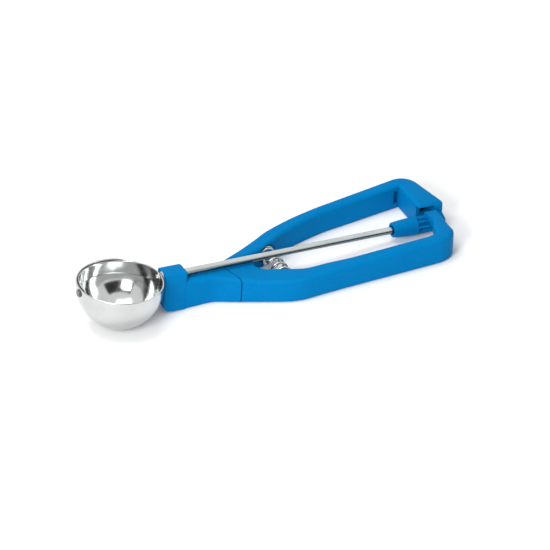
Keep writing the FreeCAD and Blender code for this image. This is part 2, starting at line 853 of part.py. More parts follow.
def cut_crossbar(body):
    """Rack channel, pinion bay, raised underside, corner relief and the rod's rear bearing."""
    deep = cell * 1.2
    far = n["body_apex_along"] + 3
    under = outline(
        body, "bar_under_plan", "XY_Plane",
        rectangle(
            n["bar_inner_along"] + 0.6, n["bar_end_side"] - 1,
            far, n["body_rear_side"] - n["body_thickness"] * 1.2,
        ),
        -deep,
    )
    pocket(body, "bar_underside_cut", under, deep - n["bar_underside"])
    inner = rack_radius - n["tongue_half_width"] - n["fit_gap"] * 8
    outer = rack_radius + n["tongue_half_width"] + n["seat_gap"] * 2
    turned_strip(
        body, "rack_channel", "PartDesign::Groove",
        rectangle(inner, rack_tips - n["seat_gap"], outer, n["channel_roof"]),
        swing(n["channel_end_side"], rack_radius), as_size(1),
    )
    bay = outline(
        body, "pinion_bay_plan", "XY_Plane",
        rectangle(
            n["bar_inner_along"] - 1, n["bar_end_side"] - 1,
            n["bar_wall_along"], n["pinion_bay_side"],
        ),
        -deep,
    )
    pocket(body, "pinion_bay", bay, deep + n["channel_roof"])
    width, edge = n["boss_half_width"], n["boss_rounding"]
    root_side = n["pinion_bay_side"] + 2
    boss = outline(
        body, "boss_section", "YZ_Plane",
        [
            (-width, -n["boss_bottom"], edge), (root_side, -n["boss_bottom"]),
            (root_side, n["boss_top"]), (-width, n["boss_top"], edge),
        ],
        n["bar_wall_along"],
    )
    pad(body, "bearing_boss", boss, n["boss_end"] - n["bar_wall_along"])
    bore = circle(
        body, "tail_bore_circle", "YZ_Plane", 0, 0, n["bush_radius"], n["bar_wall_along"] - 1
    )
    pocket(body, "tail_bore", bore, n["tail_end"] - n["bar_wall_along"] + 1)
    relief = outline(
        body, "relief_section", "XZ_Plane",
        rectangle(
            n["bar_inner_along"] - n["relief_width"], -n["relief_low"],
            n["bar_inner_along"], n["relief_high"],
        ),
        -(n["body_rear_side"] - n["body_thickness"] * 1.14 + n["relief_depth"]),
    )
    pocket(body, "corner_relief", relief, n["relief_depth"] * 2)


def cut_spring_seat(body, seat, far_arm):
    """A round cup in the arm's inner face, with a peg that holds the spring's end."""
    offset = -seat if far_arm else seat
    cup = circle(
        body, "spring_cup_circle", "XZ_Plane", n["spring_along"], -n["spring_drop"],
        n["spring_cup_radius"], offset,
    )
    pocket(body, "spring_cup", cup, n["spring_cup_radius"] * 1.6, forward=far_arm)
    peg = circle(
        body, "spring_peg_circle", "XZ_Plane", n["spring_along"], -n["spring_drop"],
        n["spring_peg_radius"], offset,
    )
    pad(body, "spring_peg", peg, n["spring_peg_length"], backward=not far_arm)


def lever_plan():
    """The lever seen from above without its tongue, still solid round the hinge."""
    inner_side = n["lever_rear_side"] - n["lever_thickness"]
    crotch = n["pivot_along"] + n["knuckle_radius"]
    before = n["seam_inner_along"] - 5
    fall = (n["lever_shoulder_side"] - n["seam_outer_side"]) / (
        n["shoulder_along"] - n["seam_outer_along"]
    )
    bend_side = n["lever_shoulder_side"] - n["lever_thickness"] * 1.08
    step = n["tongue_step_side"]
    return [
        (before, -(n["seam_outer_side"] - (n["seam_outer_along"] - before) * fall), 4),
        (n["shoulder_along"], -n["lever_shoulder_side"], 30),
        (n["lever_rear_along"], -n["lever_rear_side"], n["corner_radius"]),
        (n["lever_rear_along"] + 0.4, -step),
        (n["bar_inner_along"] + 2.4, -step),
        (n["bar_inner_along"] + 1.4, -inner_side, 6),
        (n["shoulder_along"] + 8, -bend_side, 20),
        (crotch + 4, -n["knuckle_radius"], 6),
        (crotch - 3, 3, 3),
        (before, 3, 3),
    ]


# Lever: the near arm, hinged in the neck, with the rack on the tongue of its crossbar.
def make_lever():
    body = new_body("lever_arm")
    low = -cell - 1
    far = n["body_apex_along"] + 8
    blank = outline(body, "lever_plan", "XY_Plane", lever_plan(), low)
    pad(body, "lever_blank", blank, cell + n["heel_top"] * 2)
    shape_height(body, far, n["lever_lift"])
    step = n["tongue_step_side"].value

    def wanted(edge, level):
        point = middle(edge)
        ends = all(level(v.Point) for v in edge.Vertexes)
        return level(point) and ends and abs(point.y + step) > 0.1

    round_edges(body, "top_rounding", n["top_edge"], lambda e: wanted(e, on_top), True)
    round_edges(body, "under_rounding", n["bottom_edge"], lambda e: wanted(e, underneath), True)
    inner, outer = seam_line(n["seam_gap"], 1.5)
    front, back = n["seam_inner_along"] - 10, n["pivot_along"] + 16
    clear = n["knuckle_radius"]
    seam = outline(
        body, "seam_plan", "XY_Plane",
        [
            outer, inner, (n["pivot_along"], 0), (back, 0), (back, clear), (front, clear),
            (front, outer[1]),
        ],
    )
    pocket(body, "seam_cut", seam)
    knuckle = circle(
        body, "knuckle_circle", "XY_Plane", n["pivot_along"], 0, n["knuckle_radius"], low
    )
    pad(body, "knuckle", knuckle, -low - n["neck_top_drop"])
    below = outline(
        body, "knuckle_under_line", "XZ_Plane", under_profile(far, n["lever_lift"])
    )
    pocket(body, "knuckle_under_cut", below)
    add_rack(body, far)
    cut_knuckle(body)
    cut_spring_seat(body, n["spring_lever_seat"], False)


def add_rack(body, far):
    """The tongue of the crossbar, and the rack's gaps below it, each aimed at the hinge pin."""
    start = n["bar_inner_along"] - 4
    under = outline(
        body, "stub_under_plan", "XY_Plane",
        rectangle(start, -n["tongue_root_side"], far, 0), rack_tips - cell * 2,
    )
    pocket(body, "stub_underside", under, cell * 2)
    half = n["tongue_half_width"]
    turned_strip(
        body, "tongue", "PartDesign::Revolution",
        rectangle(rack_radius - half, rack_tips, rack_radius + half, n["tongue_top"]),
        swing(n["tongue_end_side"], rack_radius),
        swing(n["tongue_step_side"] + 1, rack_radius),
    )
    top, end = n["tongue_top"].value, n["tongue_end_side"].value
    round_edges(
        body, "tongue_nose", 2.4,
        lambda e: abs(middle(e).y - end) < 0.2 and abs(middle(e).z - top) < 0.01
        and e.Length > half.value and len(e.Vertexes) == 2
        and abs(e.Vertexes[0].Y - end) < 0.2 and abs(e.Vertexes[1].Y - end) < 0.2,
    )
    lean = tangent(n["pressure_angle"])
    half_gap = gear_module * (math.pi / 4) + n["backlash"] * 0.25
    deep = addendum + n["tip_clearance"]
    below = addendum * 2
    gap = outline(
        body, "rack_gap_section", "YZ_Plane",
        [
            (-(half_gap + below * lean), pitch_radius - below),
            (half_gap + below * lean, pitch_radius - below),
            (half_gap - deep * lean, pitch_radius + deep),
            (-(half_gap - deep * lean), pitch_radius + deep),
        ],
        start,
    )
    cut = pocket(body, "rack_gap", gap, far - start)
    pin_line = attach(body, "pin_line", "XY_Plane")
    pin_line.AttachmentOffset = FreeCAD.Placement(
        FreeCAD.Vector(n["pivot_along"].value, 0, 0), FreeCAD.Rotation()
    )
    bind(pin_line, "AttachmentOffset.Base.x", n["pivot_along"])
    before = cut.Shape.Volume
    rack = body.newObject("PartDesign::PolarPattern", "rack")
    rack.Originals = [cut]
    rack.Axis = (pin_line, ["N_Axis"])
    rack.Reversed = True
    rack.Occurrences = int(n["rack_gaps"].value)
    rack.Angle = ((n["rack_gaps"] - 1) * 360 / n["sector_teeth"]).value
    bind(rack, "Angle", (n["rack_gaps"] - 1) * 360 / n["sector_teeth"])
    body.Tip = rack
    doc.recompute()
    if rack.Shape.Volume > before - 1:
        raise RuntimeError("the rack has one gap only")


def cut_knuckle(body):
    """The slot for the neck's tab and the bores of the hinge pin."""
    gap = n["seat_gap"]
    reach = n["tab_radius"] + gap * 2
    start = n["pivot_along"] - n["knuckle_radius"] - 6
    slot = outline(
        body, "tab_slot_plan", "XY_Plane",
        rectangle(start, -reach, n["pivot_along"], n["knuckle_radius"] + 2),
        -(n["tab_low"] + gap),
    )
    pocket(body, "tab_slot", slot, n["tab_low"] - n["tab_high"] + gap * 2)
    end = circle(
        body, "tab_slot_end_circle", "XY_Plane", n["pivot_along"], 0, reach,
        -(n["tab_low"] + gap),
    )
    pocket(body, "tab_slot_end", end, n["tab_low"] - n["tab_high"] + gap * 2)
    bore = circle(
        body, "pin_bore_circle", "XY_Plane", n["pivot_along"], 0,
        n["pin_radius"] + n["fit_gap"] * 1.4, -cell,
    )
    pocket(body, "pin_bore", bore, cell - n["pin_high"] + gap)
    head = circle(
        body, "pin_head_recess_circle", "XY_Plane", n["pivot_along"], 0,
        n["pin_head_radius"] + gap, -cell,
    )
    pocket(body, "pin_head_recess", head, cell - n["pin_low"] + n["pin_head_height"] + gap)


# Hinge pin: pressed into the neck's tab from below, under a low head.
def make_pin():
    body = new_body("lever_pivot_pin")
    stem = circle(
        body, "pin_circle", "XY_Plane", n["pivot_along"], 0, n["pin_radius"], -n["pin_low"]
    )
    pad(body, "pin_stem", stem, n["pin_low"] - n["pin_high"])
    head = circle(
        body, "pin_head_circle", "XY_Plane", n["pivot_along"], 0, n["pin_head_radius"],
        -n["pin_low"],
    )
    pad(body, "pin_head", head, n["pin_head_height"])


def involute(base, radius):
    """Angle by which an involute flank has curled away at a radius."""
    if radius <= base:
        return 0.0
    roll = math.sqrt((radius / base) ** 2 - 1)
    return roll - math.atan(roll)


def tooth_edges(turn, pitch, base, root_radius, tip_radius, half_tooth):
    """One tooth about a direction: two flank arcs, a tip arc and the root arc after it."""
    def spot(radius, side):
        lean = half_tooth + involute(base, pitch) - involute(base, radius)
        angle = turn + side * lean
        return FreeCAD.Vector(0, radius * math.sin(angle), radius * math.cos(angle))

    middle_radius = (max(base, root_radius) + tip_radius) / 2
    left = [spot(r, -1) for r in (root_radius, middle_radius, tip_radius)]
    right = [spot(r, 1) for r in (tip_radius, middle_radius, root_radius)]
    crown = FreeCAD.Vector(0, tip_radius * math.sin(turn), tip_radius * math.cos(turn))
    return left, crown, right


# Pinion: a bullet-shaped hub with straight involute teeth behind it, driven by a flat.
def make_pinion():
    teeth = int(n["pinion_teeth"].value)
    pitch = pitch_radius.value
    base = pitch * math.cos(math.radians(n["pressure_angle"].value))
    tip = (pitch_radius + addendum).value
    floor = (rack_tips - n["tip_clearance"]).value
    half_tooth = (math.pi * gear_module.value / 4 - n["backlash"].value / 4) / pitch
    step = 2 * math.pi / teeth
    rounds = [
        tooth_edges(i * step, pitch, base, floor, tip, half_tooth) for i in range(teeth)
    ]
    edges = []
    for i, (left, crown, right) in enumerate(rounds):
        following = rounds[(i + 1) % teeth][0][0]
        turn = (i + 0.5) * step
        bed = FreeCAD.Vector(0, floor * math.sin(turn), floor * math.cos(turn))
        edges.append(Part.Arc(*left).toShape())
        edges.append(Part.Arc(left[2], crown, right[0]).toShape())
        edges.append(Part.Arc(*right).toShape())
        edges.append(Part.Arc(right[2], bed, following).toShape())
    star = Part.Face(Part.Wire(edges))
    start, end = n["pinion_start"].value, n["pinion_end"].value
    star.translate(FreeCAD.Vector(start - 0.5, 0, 0))
    gear = star.extrude(FreeCAD.Vector(end - start + 0.5, 0, 0))
    nose, front = n["hub_nose_radius"].value, n["hub_start"].value
    bore = (n["rod_radius"] + n["fit_gap"] * 0.4).value
    recess = n["hub_recess_radius"].value
    rounding = (nose - recess) / 2

    def point(along, radius):
        return FreeCAD.Vector(along, 0, radius)

    belly = (tip * 2 + nose) / 3
    bulge = Part.Arc(
        point(front + rounding, nose), point((front + start) / 2, belly), point(start, tip)
    )
    lip = Part.Arc(
        point(front + rounding, recess), point(front, (nose + recess) / 2),
        point(front + rounding, nose),
    )
    depth = front + n["hub_recess_depth"].value
    straight = [point(start, tip), point(start, 0), point(depth, 0), point(depth, recess)]
    straight.append(point(front + rounding, recess))
    section = [bulge.toShape()]
    section += [
        Part.LineSegment(a, b).toShape() for a, b in zip(straight[:-1], straight[1:])
    ]
    section.append(lip.toShape())
    face = Part.Face(Part.Wire(Part.__sortEdges__(section)))
    hub = face.revolve(FreeCAD.Vector(0, 0, 0), FreeCAD.Vector(1, 0, 0), 360)
    solid = hub.fuse(gear).removeSplitter()
    hole = Part.makeCylinder(bore, end - front + 4, point(front - 2, 0), point(1, 0))
    flat_level = (n["rod_radius"] - n["rod_flat_depth"] + n["fit_gap"]).value
    key = Part.makeBox(
        end - front + 6, bore * 4, bore * 2, point(front - 3, -flat_level - bore * 2)
    )
    key.translate(FreeCAD.Vector(0, -bore * 2, 0))
    solid = solid.cut(hole.cut(key))
    feature = doc.addObject("Part::Feature", "pinion")
    feature.Label = "pinion"
    feature.Shape = solid.Solids[0]
    place(feature)
    PIECES.append(feature)


def spring_rise(turn, turns, end_pitch, run_pitch):
    """Height of the wound wire after some turns: close end turns, open turns between."""
    def ramp(x):
        if x <= 0:
            return 0.0
        return x * x if x < 0.5 else x - 0.25

    return end_pitch * turn + (run_pitch - end_pitch) * (ramp(turn - 1) - ramp(turn - turns + 1.5))


def biarc(start, start_way, end, end_way):
    """Two arcs that leave one point along a direction and reach another along a second."""
    chord = end - start
    ways = start_way + end_way
    a = ways.dot(ways) - 4
    b = -2 * chord.dot(ways)
    c = chord.dot(chord)
    reach = (-b - math.sqrt(b * b - 4 * a * c)) / (2 * a)
    first = start + start_way * reach
    last = end - end_way * reach
    joint = (first + last) * 0.5
    arcs = []
    for begin, corner, finish in ((start, first, joint), (joint, last, end)):
        line = finish - begin
        half = (begin + finish) * 0.5
        lean = (corner - begin).getAngle(line)
        height = line.Length / 2 * math.tan(lean / 2)
        crest = half + (corner - half).normalize() * height
        arcs.append(Part.Arc(begin, crest, finish).toShape())
    return arcs


# Return spring: one unbroken wire wound round Y between the cups of the two arms.
def make_spring():
    turns = n["spring_turns"].value
    radius, wire = n["spring_mean_radius"].value, n["spring_wire"].value
    end_pitch = n["spring_end_pitch"].value
    low = -(n["spring_lever_seat"] - n["seat_gap"]).value + wire / 2
    high = (n["spring_body_seat"] - n["seat_gap"]).value - wire / 2
    run_pitch = end_pitch + (high - low - end_pitch * turns) / (turns - 2.5)
    centre = FreeCAD.Vector(n["spring_along"].value, 0, -n["spring_drop"].value)

    def at(turn):
        angle = 2 * math.pi * turn
        rise = low + spring_rise(turn, turns, end_pitch, run_pitch)
        return centre + FreeCAD.Vector(radius * math.cos(angle), rise, radius * math.sin(angle))

    def heading(turn):
        nudge = 1e-4
        return (at(turn + nudge) - at(turn - nudge)).normalize()

    edges = []
    for i in range(int(round(turns * 2))):
        a, b = i / 2, (i + 1) / 2
        edges += biarc(at(a), heading(a), at(b), heading(b))
    path = Part.Wire(edges)
    profile = Part.Wire([Part.Circle(at(0), heading(0), wire / 2).toShape()])
    winding = Part.BRepOffsetAPI.MakePipeShell(path)
    winding.add(profile)
    winding.build()
    winding.makeSolid()
    feature = doc.addObject("Part::Feature", "return_spring")
    feature.Label = "return_spring"
    feature.Shape = winding.shape()
    place(feature)
    PIECES.append(feature)
    fine = 48
    points = [at(i / fine) for i in range(int(turns * fine) + 1)]
    gaps = [
        p.distanceToPoint(q) - wire
        for i, p in enumerate(points) for q in points[i + fine // 2:]
    ]
    print("spring: least gap to itself %.2f mm, open pitch %.2f mm" % (min(gaps), run_pitch))


make_bowl()
make_front_pivot()
make_blade()
make_rod()
make_bushes()
make_tang()
make_handle_body()
make_lever()
make_pin()
make_pinion()
make_spring()

doc.recompute()
broken = [item.Name for item in doc.Objects if {"Invalid", "Error"} & set(item.State)]
if broken:
    raise RuntimeError("failed objects: %s" % ", ".join(broken))
for piece in PIECES:
    if piece.Shape.isNull() or not piece.Shape.isValid():
        raise RuntimeError("bad shape: %s" % piece.Label)
for piece in PIECES:
    piece.Shape.exportStep("parts/%s.step" % piece.Label)
print("lever closes by %.3f degrees" % lever_travel.value)
print("pieces: %d" % len(PIECES))
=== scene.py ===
import json
import math

import bmesh
import bpy
import numpy as np
from mathutils import Matrix, Vector


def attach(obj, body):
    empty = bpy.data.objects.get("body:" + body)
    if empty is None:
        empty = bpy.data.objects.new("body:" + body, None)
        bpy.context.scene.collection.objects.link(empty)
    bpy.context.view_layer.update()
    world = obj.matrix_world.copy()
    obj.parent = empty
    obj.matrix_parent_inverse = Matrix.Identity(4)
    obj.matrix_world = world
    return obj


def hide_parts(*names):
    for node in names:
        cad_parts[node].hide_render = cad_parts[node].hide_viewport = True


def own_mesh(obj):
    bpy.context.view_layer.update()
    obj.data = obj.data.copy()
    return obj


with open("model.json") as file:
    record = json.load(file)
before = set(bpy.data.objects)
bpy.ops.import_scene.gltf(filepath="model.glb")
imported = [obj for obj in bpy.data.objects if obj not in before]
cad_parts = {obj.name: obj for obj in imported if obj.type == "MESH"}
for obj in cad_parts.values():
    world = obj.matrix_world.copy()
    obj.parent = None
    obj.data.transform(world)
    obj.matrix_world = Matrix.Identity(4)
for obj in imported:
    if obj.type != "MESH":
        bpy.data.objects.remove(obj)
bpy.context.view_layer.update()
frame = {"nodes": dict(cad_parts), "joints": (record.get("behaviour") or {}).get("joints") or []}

# Sizes of the scoop, in metres, along its own axes: X along the rod from the bowl's centre,
# Y across the handle, Z out of the bowl's mouth.
MM = 0.001
BOWL_OUTER = 25.0 * MM
BOWL_INNER = 24.0 * MM
RIM_HEIGHT = 2.6 * MM
BLADE_OUTER = 23.7 * MM
BLADE_INNER = 23.0 * MM
BLADE_HALF_WIDTH = 4.0 * MM
BLADE_END_REACH = 4.2 * MM
BLADE_DROP = math.radians(6.0)
SPRING_ALONG = 98.0 * MM
SPRING_HEIGHT = -8.5 * MM
SPRING_RADIUS = 4.15 * MM
WIRE_RADIUS = 0.7 * MM
ROD_RADIUS = 2.0 * MM
SPRING_LEVER_END = -17.3 * MM
SPRING_BODY_END = 15.9 * MM
SEAM_ALONG = 65.4 * MM
SEAM_SIDE = -1.0 * MM
SEAM_WAY = (3.3, -12.9)

# Where the mouldings' forms lie and what the photograph adds to them, in millimetres along the
# same axes. The near side's wall and its shift are across the rod, at places along it.
NEAR_WALL = ((37.0, 55.0, 68.7, 98.0, 194.0), (-4.8, -6.0, -13.9, -29.6, -33.9))
NEAR_SHIFT = (
    (30.0, 44.0, 70.0, 86.0, 98.0, 110.0, 125.0, 200.0),
    (0.0, -0.8, -1.0, -1.1, -0.6, 0.1, 0.5, 0.6),
)
NEAR_FADE = (0.5, 3.5)
COLLAR_FACE, COLLAR_REAR, COLLAR_REACH = 26.1, 37.0, 3.0
COLLAR_UNDER, COLLAR_ROUNDING, COLLAR_CUT_DEPTH = -20.8, 4.0, 6.0
COLLAR_REAR_ZONE = (COLLAR_REAR - 2.05, COLLAR_REAR + 0.05)
CORNER_STEPS = np.linspace(0, COLLAR_ROUNDING, 7)[1:]
BOSS_REAR, BOSS_SIDE, BOSS_TRIM = 199.0, 3.1, 0.8
BAR_FRONT, BAR_UNDER, BAR_UNDER_SLACK, BAR_RISE = 186.0, -1.7, 0.02, 3.4
BAR_MOUTH, BAR_ROOT, BAR_ZONE = 3.2, 28.8, (3.0, 28.9)
FAR_ARM_SIDE = 8.0
FAR_SWELLS = ((1.3, 122.0, 17.0), (-0.7, 97.0, 10.0))
LEVER_TOP_RUN, LEVER_TOP_START, LEVER_TOP_RISE = (83.0, 190.0), -2.7, 12.6
SHOULDER_SHIFT = ((84.0, 94.0, 118.0, 132.0), (0.0, 1.1, 1.1, 0.0))
SHOULDER_ACROSS, SHOULDER_BELOW_TOP = (5.0, 7.0), (-3.2, -2.4)
REAR_REACH, REAR_ALONG, REAR_ASIDE = 0.6, (190.0, 193.0), (20.0, 24.0)
ROOT_FILL, ROOT_ALONG, ROOT_ASIDE, ROOT_LIMIT = 2.4, (178.0, 182.0), (11.0, 17.0), 28.0
HUB_REAR, HUB_BORE, HUB_STRETCH, HUB_FULLNESS = 183.2, 3.05, 1 / 9, 0.012
BODY_CUTS = [*(COLLAR_FACE + CORNER_STEPS), *range(64, 144, 5)]
LEVER_CUTS = range(74, 146, 4)
SHARP_ANGLE = math.radians(28)
CAD_WELD = 2e-6
MOULD_EDGE = 0.25 * MM
HUB_EDGE = 0.2 * MM

spindle = [j for j in frame["joints"] if j["name"] == "spindle_spin"][0]
BOWL_CENTRE = np.array(spindle["pos_m"], float)
ROD_WAY = np.array(spindle["axis"], float) / np.linalg.norm(spindle["axis"])
SIDE_WAY = np.array([0.0, 1.0, 0.0])
MOUTH_WAY = np.cross(ROD_WAY, SIDE_WAY)
OWN_AXES = np.array([ROD_WAY, SIDE_WAY, MOUTH_WAY])
LIE_ANGLE = math.atan2(-ROD_WAY[2], ROD_WAY[0])


def to_row(points):
    """Points along the scoop's own axes, turned and shifted to where the scoop lies."""
    return np.asarray(points, float) @ OWN_AXES + BOWL_CENTRE


def make_object(name, points, faces, smooth=True):
    """An object at the origin, with its place in its mesh."""
    mesh = bpy.data.meshes.new(name)
    mesh.from_pydata([tuple(p) for p in points], [], faces)
    mesh.validate()
    mesh.update()
    if smooth:
        mesh.polygons.foreach_set("use_smooth", np.ones(len(mesh.polygons), bool))
    piece = bpy.data.objects.new(name, mesh)
    bpy.context.scene.collection.objects.link(piece)
    return piece


def grid_faces(rows, columns, wrap_rows, wrap_columns):
    """Quads between neighbouring points of a grid, closed round either way if asked."""
    i = np.arange(rows if wrap_rows else rows - 1)
    j = np.arange(columns if wrap_columns else columns - 1)
    i, j = np.meshgrid(i, j, indexing="ij")
    i, j = i.ravel(), j.ravel()
    up, over = (i + 1) % rows, (j + 1) % columns
    quads = np.stack(
        [i * columns + j, up * columns + j, up * columns + over, i * columns + over], 1
    )
    return quads.tolist()


def tidy_mesh(piece, distance=1e-6):
    """Merges doubles, drops faces without area and turns every face outwards."""
    work = bmesh.new()
    work.from_mesh(piece.data)
    bmesh.ops.remove_doubles(work, verts=work.verts, dist=distance)
    bmesh.ops.dissolve_degenerate(work, dist=distance, edges=work.edges)
    bmesh.ops.recalc_face_normals(work, faces=work.faces)
    work.to_mesh(piece.data)
    work.free()
    piece.data.update()


def turned(name, profile, segments):
    """A profile carried once round the mouth's axis.

    A profile point (r, h) becomes (-r sin a, r cos a, h), with a from 0 to 2 pi. A closed
    profile gives a closed wall; where r is 0 the ring shrinks to one point and its doubles
    are merged.
    """
    a = np.linspace(0, 2 * math.pi, segments, endpoint=False)[:, None]
    r, h = profile[:, 0][None, :], profile[:, 1][None, :]
    points = np.stack([-r * np.sin(a), r * np.cos(a), h + 0 * a], -1)
    rows, columns = points.shape[:2]
    faces = grid_faces(rows, columns, True, True)
    piece = make_object(name, to_row(points.reshape(-1, 3)), faces)
    tidy_mesh(piece)
    return piece


def arc(centre, radius, start, stop, count):
    """Points on a circle between two angles, in degrees."""
    a = np.radians(np.linspace(start, stop, count))
    return np.stack([centre[0] + radius * np.cos(a), centre[1] + radius * np.sin(a)], 1)


def make_bowl():
    """Revolved section of a spherical wall: outer arc up, half-round rim, inner arc down."""
    wall = BOWL_OUTER - BOWL_INNER
    middle = (BOWL_OUTER + BOWL_INNER) / 2
    top = RIM_HEIGHT - wall / 2
    turn = math.degrees(math.asin(top / middle))
    rim = (middle * math.cos(math.radians(turn)), top)
    section = np.concatenate([
        arc((0, 0), BOWL_OUTER, -90, turn, 90),
        arc(rim, wall / 2, turn, turn + 180, 9)[1:-1],
        arc((0, 0), BOWL_INNER, turn, -90, 90),
    ])
    piece = turned("bowl_shell", section, 256)
    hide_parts("bowl")
    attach(piece, "handle")
    return piece


def make_blade():
    """A strip of a sphere about the rod, with round ends, dropped to its rest angle.

    Along the strip, t goes from one round end to the other; across it, s goes from -1 to 1.
    The half width w(t) shrinks as a semicircle over the last stretch at both ends. A point
    is at longitude t, height s w(t), on spheres of the outer and inner radius, and the edge
    between them is rounded by a superellipse in the thickness.
    """
    reach = math.asin(BLADE_END_REACH / BLADE_OUTER)
    tip = BLADE_HALF_WIDTH / BLADE_OUTER
    along = np.concatenate([
        -reach + tip * (1 - np.cos(np.linspace(0, math.pi / 2, 14))),
        np.linspace(-reach + tip, math.pi + reach - tip, 150)[1:-1],
        math.pi + reach - tip * (1 - np.cos(np.linspace(math.pi / 2, 0, 14))),
    ])
    inward = np.minimum(along + reach, math.pi + reach - along) / tip
    half = BLADE_HALF_WIDTH * np.sqrt(np.clip(1 - (1 - np.clip(inward, 0, 1)) ** 2, 0, 1))
    ring = np.linspace(0, 2 * math.pi, 36, endpoint=False)
    across = np.sign(np.cos(ring)) * np.abs(np.cos(ring)) ** 0.35
    depth = np.sign(np.sin(ring)) * np.abs(np.sin(ring)) ** 0.6
    middle = (BLADE_OUTER + BLADE_INNER) / 2
    thick = (BLADE_OUTER - BLADE_INNER) / 2
    height = half[:, None] * across[None, :]
    radius = middle + thick * depth[None, :] * np.minimum(half[:, None] / thick, 1)
    flat = np.sqrt(np.maximum(radius ** 2 - height ** 2, 0))
    level = np.stack(
        [flat * np.cos(along)[:, None], flat * np.sin(along)[:, None], height], -1
    )
    c, s = math.cos(-BLADE_DROP), math.sin(-BLADE_DROP)
    points = np.stack(
        [level[..., 0], c * level[..., 1] - s * level[..., 2],
         s * level[..., 1] + c * level[..., 2]], -1
    )
    rows, columns = points.shape[:2]
    piece = make_object(
        "blade_strip", to_row(points.reshape(-1, 3)), grid_faces(rows, columns, False, True)
    )
    tidy_mesh(piece)
    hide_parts("scraper_blade")
    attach(piece, "spindle")
    return piece


def slow_start(turn):
    """0 before 0, then turn^2 up to half a turn, and turn - 1/4 after it."""
    turn = np.maximum(turn, 0)
    return np.where(turn < 0.5, turn * turn, turn - 0.25)


def make_spring():
    """A round wire wound between the two arms: a circle carried along a helix about Y.

    The centre line is (R cos 2 pi t, y(t), R sin 2 pi t) for t turns. y rises slowly over the
    closed end turns and evenly between. The wire's circle stands on the radial line and on
    the line square to it and to the path.
    """
    turns, steps, sides = 7.5, 64, 20
    low, high = SPRING_LEVER_END + WIRE_RADIUS, SPRING_BODY_END - WIRE_RADIUS
    end_pitch = 1.9 * MM
    open_pitch = end_pitch + (high - low - end_pitch * turns) / (turns - 2.5)
    t = np.linspace(0, turns, int(turns * steps) + 1)
    opened = slow_start(t - 1) - slow_start(t - turns + 1.5)
    rise = end_pitch * t + (open_pitch - end_pitch) * opened
    a = 2 * math.pi * t
    path = np.stack(
        [SPRING_ALONG + SPRING_RADIUS * np.cos(a), low + rise,
         SPRING_HEIGHT + SPRING_RADIUS * np.sin(a)], 1
    )
    way = np.gradient(path, axis=0)
    way /= np.linalg.norm(way, axis=1)[:, None]
    out = np.stack([np.cos(a), np.zeros_like(a), np.sin(a)], 1)
    out -= (out * way).sum(1)[:, None] * way
    out /= np.linalg.norm(out, axis=1)[:, None]
    over = np.cross(way, out)
    b = np.linspace(0, 2 * math.pi, sides, endpoint=False)[None, :, None]
    tube = path[:, None, :] + WIRE_RADIUS * (np.cos(b) * out[:, None] + np.sin(b) * over[:, None])
    ends = [np.repeat(path[i][None, None, :], sides, 1) for i in (0, -1)]
    tube = np.concatenate([ends[0], tube, ends[1]])
    rows, columns = tube.shape[:2]
    piece = make_object(
        "coil_wire", to_row(tube.reshape(-1, 3)), grid_faces(rows, columns, False, True)
    )
    tidy_mesh(piece)
    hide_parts("return_spring")
    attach(piece, "handle")
    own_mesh(piece)
    return piece


def step_up(value, start, stop):
    """0 up to start, 1 from stop on, and a straight rise between."""
    return np.clip((value - start) / (stop - start), 0, 1)


def bump_at(x, middle, reach):
    """exp(-((x - middle) / reach)^2)"""
    return np.exp(-((x - middle) / reach) ** 2)


def rounded_corner(across, up, radius):
    """Turns the square zone beside a corner into a quarter round.

    With u and w the distances from the zone's inner corner over its side, the larger of the
    two becomes the distance r, and their ratio the angle f: u' = r cos f, w' = r sin f.
    """
    u, w = 1 - across / radius, 1 - up / radius
    inside = (u > 0) & (w > 0) & (u < 1.001) & (w < 1.001)
    reach = np.maximum(u, w)
    safe = np.maximum(reach, 1e-9)
    turn = np.where(u >= w, w / safe, 2 - u / safe) * math.pi / 4
    new_across = radius * (1 - reach * np.cos(turn))
    new_up = radius * (1 - reach * np.sin(turn))
    return np.where(inside, new_across, across), np.where(inside, new_up, up)


def near_side(x, y):
    """How far the outer wall of the near side moves, fading out a little inside it."""
    inside = y - np.interp(x, *NEAR_WALL)
    return np.interp(x, *NEAR_SHIFT) * (1 - step_up(inside, *NEAR_FADE))


def fit_body(x, y, z):
    """The body's points, in millimetres along the scoop's own axes, as the photograph has them.

    The collar gets a flat face ahead, with a round corner below, and reaches further back. The
    far arm swells by the bumps in FAR_SWELLS, each a size, a middle and a reach, which eases
    its bend. The crossbar's underside rises towards its mouth, and the rear boss is shortened.
    """
    collar = (x > COLLAR_REAR_ZONE[0]) & (x < COLLAR_REAR_ZONE[1])
    boss = (x > BOSS_REAR) & (y < BOSS_SIDE)
    under = (np.abs(z - BAR_UNDER) < BAR_UNDER_SLACK) & (x > BAR_FRONT)
    under = under & (y > BAR_ZONE[0]) & (y < BAR_ZONE[1])
    z = np.where(under, BAR_UNDER + BAR_RISE * (BAR_ROOT - y) / (BAR_ROOT - BAR_MOUTH), z)
    x = np.where(collar, x + COLLAR_REACH, x)
    x = np.where(boss, x - BOSS_TRIM, x)
    x = np.maximum(x, COLLAR_FACE)
    ahead, above = rounded_corner(x - COLLAR_FACE, z - COLLAR_UNDER, COLLAR_ROUNDING)
    swell = sum(size * bump_at(x, middle, reach) for size, middle, reach in FAR_SWELLS)
    y = y + near_side(x, y) + np.where(y > FAR_ARM_SIDE, swell, 0)
    return COLLAR_FACE + ahead, y, COLLAR_UNDER + above


